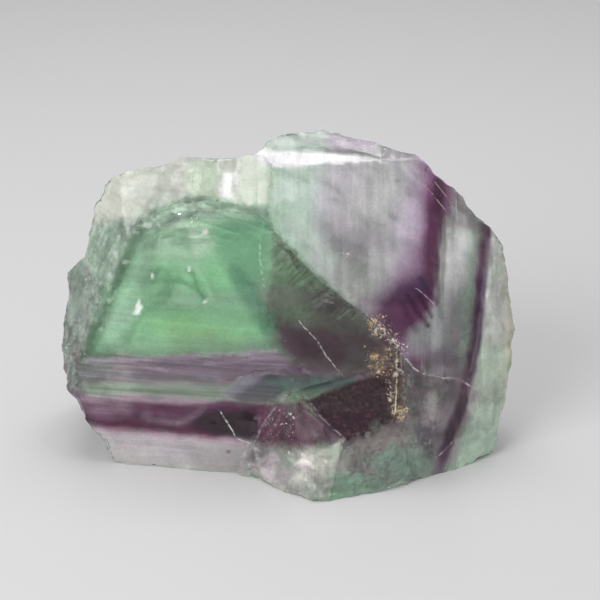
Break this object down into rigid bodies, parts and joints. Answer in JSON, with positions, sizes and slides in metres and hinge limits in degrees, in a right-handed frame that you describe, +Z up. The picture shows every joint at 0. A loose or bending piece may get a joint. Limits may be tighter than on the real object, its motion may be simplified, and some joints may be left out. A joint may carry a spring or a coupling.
{
  "type": "broken chunk of banded rainbow fluorite",
  "caption": "hand-sized chunk of see-through banded green, purple and clear fluorite with flat cleavage faces, stepped ledges and chipped edges",
  "frame": {"origin": "middle of the bounding box at the level of the flat base", "axes": "+X to the right along the longest side, -Y towards the front with the flat window face, +Z up"},
  "size_m": [0.0516, 0.031, 0.0351],
  "materials": {
    "fluorite": "gloss"
  },
  "bodies": {
    "root": {"fluorite_chunk": "fluorite"}
  },
  "joints": []
}
